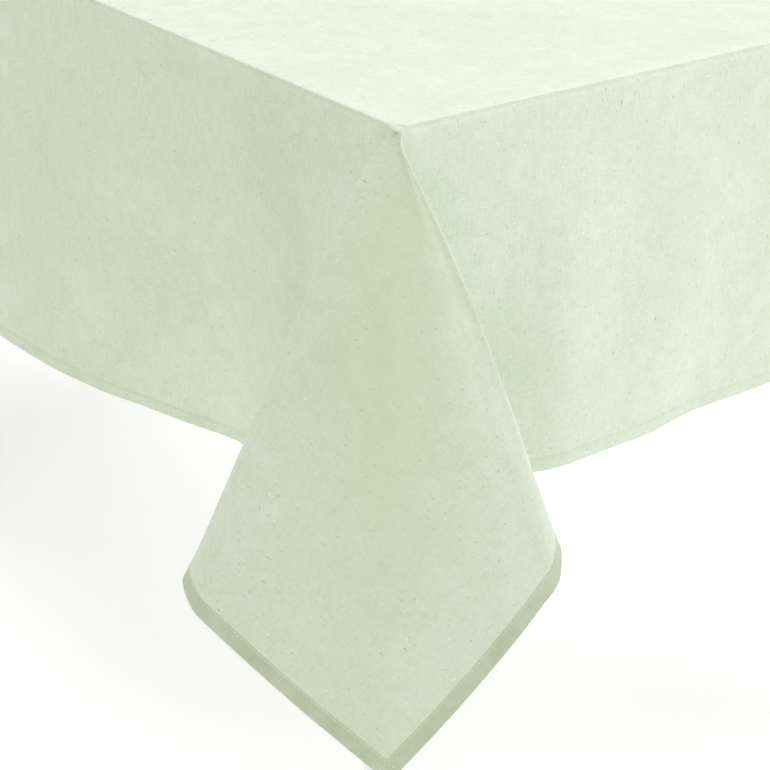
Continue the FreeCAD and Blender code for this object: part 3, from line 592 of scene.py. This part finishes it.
# ---------------------------------------------------------------- materials
class Nodes:
    """Makes a material's nodes and joins them."""

    def __init__(self, name):
        self.material = bpy.data.materials.new(name)
        self.material.use_nodes = True
        self.tree = self.material.node_tree
        self.bsdf = self.tree.nodes["Principled BSDF"]

    def put(self, node, key, value):
        """Gives an input a number or a colour, or joins it to another node's output."""
        if isinstance(value, bpy.types.NodeSocket):
            self.tree.links.new(value, node.inputs[key])
        else:
            node.inputs[key].default_value = value

    def shader(self, **values):
        """Sets the shader's inputs, whose names are given with _ for each space."""
        for key, value in values.items():
            self.put(self.bsdf, key.replace("_", " "), value)

    def uv(self):
        node = self.tree.nodes.new("ShaderNodeUVMap")
        node.uv_map = "UVMap"
        return node.outputs[0]

    def place(self):
        """The place on the object, in metres."""
        return self.tree.nodes.new("ShaderNodeTexCoord").outputs["Object"]

    def split(self, vector):
        node = self.tree.nodes.new("ShaderNodeSeparateXYZ")
        self.put(node, 0, vector)
        return node.outputs[0], node.outputs[1]

    def math(self, op, a, b=0.0, c=0.0):
        node = self.tree.nodes.new("ShaderNodeMath")
        node.operation = op
        for i, value in enumerate((a, b, c)):
            self.put(node, i, value)
        return node.outputs[0]

    def product(self, *values):
        out = values[0]
        for value in values[1:]:
            out = self.math("MULTIPLY", out, value)
        return out

    def beside(self, value, half):
        """How far a UV value is beyond half on either side of the cloth's middle."""
        off = self.math("ABSOLUTE", self.math("SUBTRACT", value, UV_MIDDLE))
        return self.math("SUBTRACT", off, half)

    def mix(self, fac, a, b):
        node = self.tree.nodes.new("ShaderNodeMix")
        node.data_type = "RGBA"
        for i, value in ((0, fac), (6, a), (7, b)):
            self.put(node, i, value)
        return node.outputs[2]

    def stretched_noise(self, vector, sx, sy, scale=1.0, detail=2.0, rough=0.5, shift=0.0):
        """Noise with sx and sy cells a metre, times scale."""
        mapping = self.tree.nodes.new("ShaderNodeMapping")
        mapping.inputs["Scale"].default_value = (sx, sy, 1)
        mapping.inputs["Location"].default_value = (shift, shift * 0.7, 0)
        self.put(mapping, "Vector", vector)
        node = self.tree.nodes.new("ShaderNodeTexNoise")
        self.put(node, "Vector", mapping.outputs[0])
        node.inputs["Scale"].default_value = scale
        node.inputs["Detail"].default_value = detail
        node.inputs["Roughness"].default_value = rough
        return node.outputs[0]

    def ramp(self, value, low, high, a=0.0, b=1.0):
        """From a to b as the value goes from low to high."""
        node = self.tree.nodes.new("ShaderNodeMapRange")
        for i, v in enumerate((value, low, high, a, b)):
            self.put(node, i, v)
        return node.outputs[0]

    def bump(self, height, strength, distance, normal=None):
        node = self.tree.nodes.new("ShaderNodeBump")
        node.inputs["Strength"].default_value = strength
        node.inputs["Distance"].default_value = distance
        self.put(node, "Height", height)
        if normal is not None:
            self.put(node, "Normal", normal)
        return node.outputs[0]


def tint(colour, red, green, blue):
    """A colour with its three parts multiplied."""
    return (min(1, colour[0] * red), min(1, colour[1] * green), min(1, colour[2] * blue), 1)


def kite_middle_painted_shade(m, u, v, base, colour):
    """Painted shade: the kites' middles a little darker and deeper in colour."""
    p, q = m.beside(u, HALF_X), m.beside(v, HALF_Y)
    reach = math.hypot(DROP_SHORT, DROP_LONG)
    across = m.math("SUBTRACT", m.math("MULTIPLY", p, DROP_LONG / reach),
                    m.math("MULTIPLY", q, DROP_SHORT / reach))
    # painted shade: the middle of each kite is mixed towards a darker, deeper tint
    middle = m.product(m.ramp(m.math("ABSOLUTE", across), 0.085, 0.0), m.ramp(p, 0.0, 0.03),
                       m.ramp(q, 0.0, 0.03), m.ramp(p, 0.23, 0.12, 0.25, 1.0), 0.55)
    return m.mix(middle, base, tint(colour, .90, .93, .80))


def hem_tone(m, uv, u, v, base, colour, light):
    """Along the hem, where more layers make the cloth deeper in colour, the cloth a little
    paler within a millimetre of its edge, and its seam."""
    du = m.math("MULTIPLY", m.beside(u, FLAT_X / 2), -1.0)
    dv = m.math("MULTIPLY", m.beside(v, FLAT_Y / 2), -1.0)
    edge = m.math("MINIMUM", du, dv)
    inside = m.ramp(edge, HEM - 0.0006, HEM + 0.0004, 1.0, 0.0)
    doubled = m.product(m.ramp(du, DROP_SHORT + 0.02, DROP_SHORT - 0.05),
                        m.ramp(dv, DROP_LONG + 0.02, DROP_LONG - 0.05))
    patchy = m.ramp(m.stretched_noise(uv, 38, 38, 1, 3, 0.6, 31.0), 0.3, 0.65, 0.55, 1.0)
    depth = m.math("MULTIPLY_ADD", doubled, 0.75, 0.10)
    base = m.mix(m.product(inside, depth, patchy), base, (0.440, 0.520, 0.330, 1))
    base = m.mix(m.ramp(edge, 0.0, 0.0010, 0.35, 0.0), base, light)
    off_seam = m.math("ABSOLUTE", m.math("SUBTRACT", edge, SEAM))
    return m.mix(m.ramp(off_seam, 0.0, 0.0009, 0.35, 0.0), base, tint(colour, .8, .84, .74))


def linen(name, colour, is_sheet):
    """Pale sage linen. UV is the cloth's own place in metres, so threads run with it. The
    sheet also has painted shade down its kites' middles, and the tones of its hems."""
    m = Nodes(name)
    uv = m.uv()
    u, v = m.split(uv)
    wander = m.stretched_noise(uv, 1, 1, 45, 2)
    turns = 2 * math.pi / THREAD_PITCH
    weave = m.product(
        m.math("SINE", m.math("MULTIPLY_ADD", u, turns, m.math("MULTIPLY", wander, 9))),
        m.math("SINE", m.math("MULTIPLY_ADD", v, turns, m.math("MULTIPLY", wander, 7))))
    # slubs: single threads that are thicker for a few millimetres
    warp = m.stretched_noise(uv, 1500, 130, 1, 1, 0.4, 3.0)
    weft = m.stretched_noise(uv, 130, 1500, 1, 1, 0.4, 9.0)
    slub = m.math("MAXIMUM", m.ramp(warp, 0.60, 0.76), m.ramp(weft, 0.60, 0.76))
    thin = m.math("MAXIMUM", m.ramp(warp, 0.38, 0.25), m.ramp(weft, 0.38, 0.25))
    streak = m.math("ADD", m.stretched_noise(uv, 420, 14, 1, 2, 0.5, 1.0),
                    m.stretched_noise(uv, 14, 420, 1, 2, 0.5, 5.0))
    cloud = m.stretched_noise(uv, 9, 9, 1, 4, 0.55, 2.0)
    mottle = m.stretched_noise(uv, 60, 60, 1, 3, 0.6, 7.0)
    # flecks of husk and of paler fibre
    fleck = m.stretched_noise(uv, 230, 420, 1, 2, 0.55, 17.0)
    pale = m.stretched_noise(uv, 380, 220, 1, 2, 0.55, 23.0)
    light = tint(colour, 1.13, 1.09, 1.16)
    base = m.mix(m.ramp(cloud, 0.3, 0.7), colour, light)
    for share, tone in ((m.ramp(mottle, 0.38, 0.68, 0, 0.45), tint(colour, .90, .93, .86)),
                        (m.ramp(streak, 0.80, 1.20, 0.0, 0.30), light),
                        (m.product(slub, 0.36), tint(colour, .74, .78, .68)),
                        (m.product(thin, 0.28), (0.93, 0.96, 0.88, 1)),
                        (m.ramp(fleck, 0.655, 0.72, 0, 0.60), tint(colour, .60, .62, .46)),
                        (m.ramp(pale, 0.65, 0.74, 0, 0.50), (0.93, 0.97, 0.86, 1)),
                        (m.ramp(weave, -1, 1, 0.10, 0.0), tint(colour, .66, .70, .60))):
        base = m.mix(share, base, tone)
    if is_sheet:
        # painted shade down the kites' middles
        base = kite_middle_painted_shade(m, u, v, base, colour)
        base = hem_tone(m, uv, u, v, base, colour, light)
    height = m.math("MULTIPLY_ADD", weave, 0.35, m.product(slub, 0.9))
    height = m.math("ADD", height, m.product(thin, -0.5))
    height = m.math("MULTIPLY_ADD", streak, 0.5, height)
    crumple = m.stretched_noise(uv, 34, 34, 1, 4, 0.55, 13.0)
    m.shader(Base_Color=base, Roughness=m.ramp(mottle, 0.3, 0.7, 0.78, 0.92),
             Specular_IOR_Level=0.25, Sheen_Weight=0.22, Sheen_Roughness=0.5,
             Sheen_Tint=(0.95, 1.0, 0.92, 1),
             Normal=m.bump(crumple, 0.40, 0.0022, m.bump(height, 0.55, 0.00016)))
    return m.material


def lacquer(name):
    """White lacquer with a fine orange peel."""
    m = Nodes(name)
    at = m.place()
    big = m.stretched_noise(at, 3, 3, 1, 3, 0.5)
    peel = m.stretched_noise(at, 700, 700, 1, 2, 0.5, 4.0)
    grain = m.stretched_noise(at, 260, 260, 1, 3, 0.6, 8.0)
    tone = m.mix(m.ramp(big, 0.3, 0.7), (0.80, 0.80, 0.775, 1), (0.86, 0.86, 0.84, 1))
    m.shader(Base_Color=tone, Roughness=m.ramp(grain, 0.3, 0.7, 0.30, 0.42), Coat_Weight=0.35,
             Coat_Roughness=0.18, Normal=m.bump(peel, 0.10, 0.0004, m.bump(grain, 0.06, 0.0006)))
    return m.material


def beech(name):
    """Bare wood with rings and pores."""
    m = Nodes(name)
    at = m.place()
    rings = m.stretched_noise(at, 9, 60, 1, 5, 0.6)
    pores = m.stretched_noise(at, 120, 1500, 1, 2, 0.5, 6.0)
    base = m.mix(m.ramp(rings, 0.3, 0.7), (0.62, 0.42, 0.25, 1), (0.76, 0.57, 0.38, 1))
    base = m.mix(m.ramp(pores, 0.58, 0.72, 0, 0.45), base, (0.36, 0.22, 0.12, 1))
    m.shader(Base_Color=base, Roughness=m.ramp(rings, 0.3, 0.7, 0.5, 0.65),
             Normal=m.bump(pores, 0.25, 0.0004))
    return m.material


def zinc(name):
    """Zinc-plated steel with a small spangle."""
    m = Nodes(name)
    at = m.place()
    spangle = m.tree.nodes.new("ShaderNodeTexVoronoi")
    m.put(spangle, "Vector", at)
    m.put(spangle, "Scale", 900)
    fine = m.stretched_noise(at, 1400, 1400, 1, 2, 0.5)
    tone = m.mix(m.ramp(spangle.outputs[0], 0, 0.8), (0.58, 0.60, 0.62, 1), (0.72, 0.73, 0.74, 1))
    m.shader(Base_Color=tone, Metallic=1.0, Roughness=m.ramp(fine, 0.3, 0.7, 0.26, 0.44),
             Normal=m.bump(fine, 0.12, 0.0002))
    return m.material


def nylon(name):
    """Moulded grey plastic."""
    m = Nodes(name)
    at = m.place()
    grain = m.stretched_noise(at, 1600, 1600, 1, 2, 0.5)
    cloud = m.stretched_noise(at, 60, 60, 1, 2, 0.5, 3.0)
    tone = m.mix(m.ramp(cloud, 0.3, 0.7), (0.44, 0.45, 0.46, 1), (0.52, 0.53, 0.53, 1))
    m.shader(Base_Color=tone, Roughness=m.ramp(grain, 0.3, 0.7, 0.48, 0.62),
             Subsurface_Weight=0.05, Normal=m.bump(grain, 0.2, 0.0002))
    return m.material


def cotton_thread(name):
    """Sewing thread in the cloth's colour."""
    m = Nodes(name)
    at = m.place()
    ply = m.stretched_noise(at, 2600, 2600, 1, 2, 0.6)
    tone = m.mix(m.ramp(ply, 0.3, 0.7), (0.60, 0.69, 0.50, 1), (0.78, 0.85, 0.69, 1))
    m.shader(Base_Color=tone, Roughness=m.ramp(ply, 0.3, 0.7, 0.55, 0.75), Sheen_Weight=0.3,
             Normal=m.bump(ply, 0.4, 0.0001))
    return m.material


FINISH = {
    "cloth": linen("sage_linen", (0.640, 0.735, 0.545, 1), True),
    "cloth_hem": linen("sage_linen_hem", (0.56, 0.655, 0.455, 1), False),
    "thread": cotton_thread("sage_thread"), "lacquered_wood": lacquer("white_lacquer"),
    "bare_wood": beech("bare_beech"), "zinc_steel": zinc("zinc_plated_steel"),
    "foot_plastic": nylon("grey_nylon"),
}
# the first start that a node's name has gives its finish
BY_NAME = (("corner_block", "bare_wood"), ("hanger_bolt", "zinc_steel"), ("washer", "zinc_steel"),
           ("wing_nut", "zinc_steel"), ("foot_pad", "foot_plastic"), ("foot_stud", "zinc_steel"),
           ("leg_insert", "zinc_steel"), ("top_screws", "zinc_steel"), ("table_top", "lacquered_wood"),
           ("rail_", "lacquered_wood"), ("leg_", "lacquered_wood"))
for name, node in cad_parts.items():
    for start, finish in BY_NAME:
        if name.startswith(start):
            node.data.materials.clear()
            node.data.materials.append(FINISH[finish])
            break
    if name.startswith(("rail_", "table_top", "leg_f", "leg_b")):
        bevel = node.modifiers.new("eased_edges", "BEVEL")
        bevel.width = 0.0012
        bevel.segments = 2
        bevel.limit_method = "ANGLE"
        bevel.angle_limit = math.radians(40)
        bevel.harden_normals = False

tablecloth.data.materials.append(FINISH["cloth"])
for side in SIDES:
    hems[side].data.materials.append(FINISH["cloth_hem"])
    threads[side].data.materials.append(FINISH["thread"])

# ---------------------------------------------------------------- what each piece stands for
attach(tablecloth, "cloth")
corner_names = ("front_right", "back_right", "back_left", "front_left")
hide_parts("cloth_top", *["cloth_drop_" + s for s in SIDES],
            *["corner_fold_" + c for c in corner_names])
for side in SIDES:
    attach(hems[side], "cloth")
    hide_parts("hem_" + side)
    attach(threads[side], "cloth")
    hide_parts("hem_stitching_" + side)

# ---------------------------------------------------------------- stage, light and camera
def studio_paint(name, scale, low, high, specular, glow, strength):
    """A matt pale paint, lit a little of itself."""
    m = Nodes(name)
    cloud = m.stretched_noise(m.place(), scale, scale, 1, 2, 0.5)
    m.shader(Base_Color=m.mix(m.ramp(cloud, 0.3, 0.7), low, high), Roughness=0.95,
             Specular_IOR_Level=specular, Emission_Color=glow, Emission_Strength=strength)
    return m.material


def floor():
    half = 14.0
    verts = [(-half, -half, 0), (half, -half, 0), (half, half, 0), (-half, half, 0)]
    obj = make("floor", np.array(verts), [[0, 1, 2, 3]], soft=False)
    obj.data.materials.append(studio_paint(
        "studio_floor", 1.5, (0.90, 0.90, 0.885, 1), (0.92, 0.92, 0.905, 1), 0.0,
        (1, 1, 0.99, 1), 0.485))


def softbox(name, place, target, size, power, colour):
    """A soft light at a place, turned to its target."""
    data = bpy.data.lights.new(name, "AREA")
    data.shape = "RECTANGLE"
    data.size, data.size_y = size
    data.energy = power
    data.color = colour
    obj = bpy.data.objects.new(name, data)
    obj.location = place
    obj.rotation_euler = (Vector(target) - Vector(place)).to_track_quat("-Z", "Y").to_euler()
    scene.collection.objects.link(obj)


def wall():
    """A pale studio wall all round, far behind the table."""
    n, far, high = 48, 12.0, 5.5
    ring = [(far * math.cos(2 * math.pi * i / n), far * math.sin(2 * math.pi * i / n)) for i in range(n)]
    verts = [(x, y, z) for x, y in ring for z in (-0.01, high)]
    quads = [[2 * i, 2 * i + 1, 2 * ((i + 1) % n) + 1, 2 * ((i + 1) % n)] for i in range(n)]
    obj = make("studio_wall", np.array(verts, float), quads)
    obj.data.materials.append(studio_paint(
        "studio_wall_paint", 0.5, (0.712, 0.712, 0.702, 1), (0.728, 0.728, 0.718, 1), 0.5,
        (1, 1, 0.93, 1), 0.30))


floor()
wall()
softbox("key_back_right", (2.6, 2.2, 3.0), (0.3, 0, 0.6), (1.8, 1.4), 86, (0.80, 0.82, 1.0))
softbox("fill_front_left", (0.7, -3.4, 0.7), (0.55, -0.5, 0.35), (2.0, 0.9), 5, (1.0, 1.0, 0.90))
softbox("overhead", (0.5, -0.42, 3.6), (0.2, 0, 0.7), (3.0, 2.2), 100, (0.98, 0.88, 1.0))

world = bpy.data.worlds.new("studio")
world.use_nodes = True
world.node_tree.nodes["Background"].inputs[0].default_value = (1, 1, 0.90, 1)
world.node_tree.nodes["Background"].inputs[1].default_value = 0.12
scene.world = world
scene.view_settings.view_transform = "Standard"
scene.view_settings.look = "None"
scene.view_settings.exposure = 0
scene.view_settings.gamma = 1

camera = bpy.data.cameras.new("camera")
camera.sensor_fit = "HORIZONTAL"
camera.sensor_width = 36.0
camera.lens = 111.207
camera.clip_end = 60
eye = bpy.data.objects.new("camera", camera)
near_corner = Vector((top_high.x, -top_high.y, top_high.z))
eye.location = near_corner + Vector((1.1493, -0.8469, 0.4624))
eye.rotation_euler = Vector((-0.7377, 0.5378, -0.4082)).to_track_quat("-Z", "Y").to_euler()
scene.collection.objects.link(eye)
scene.camera = eye
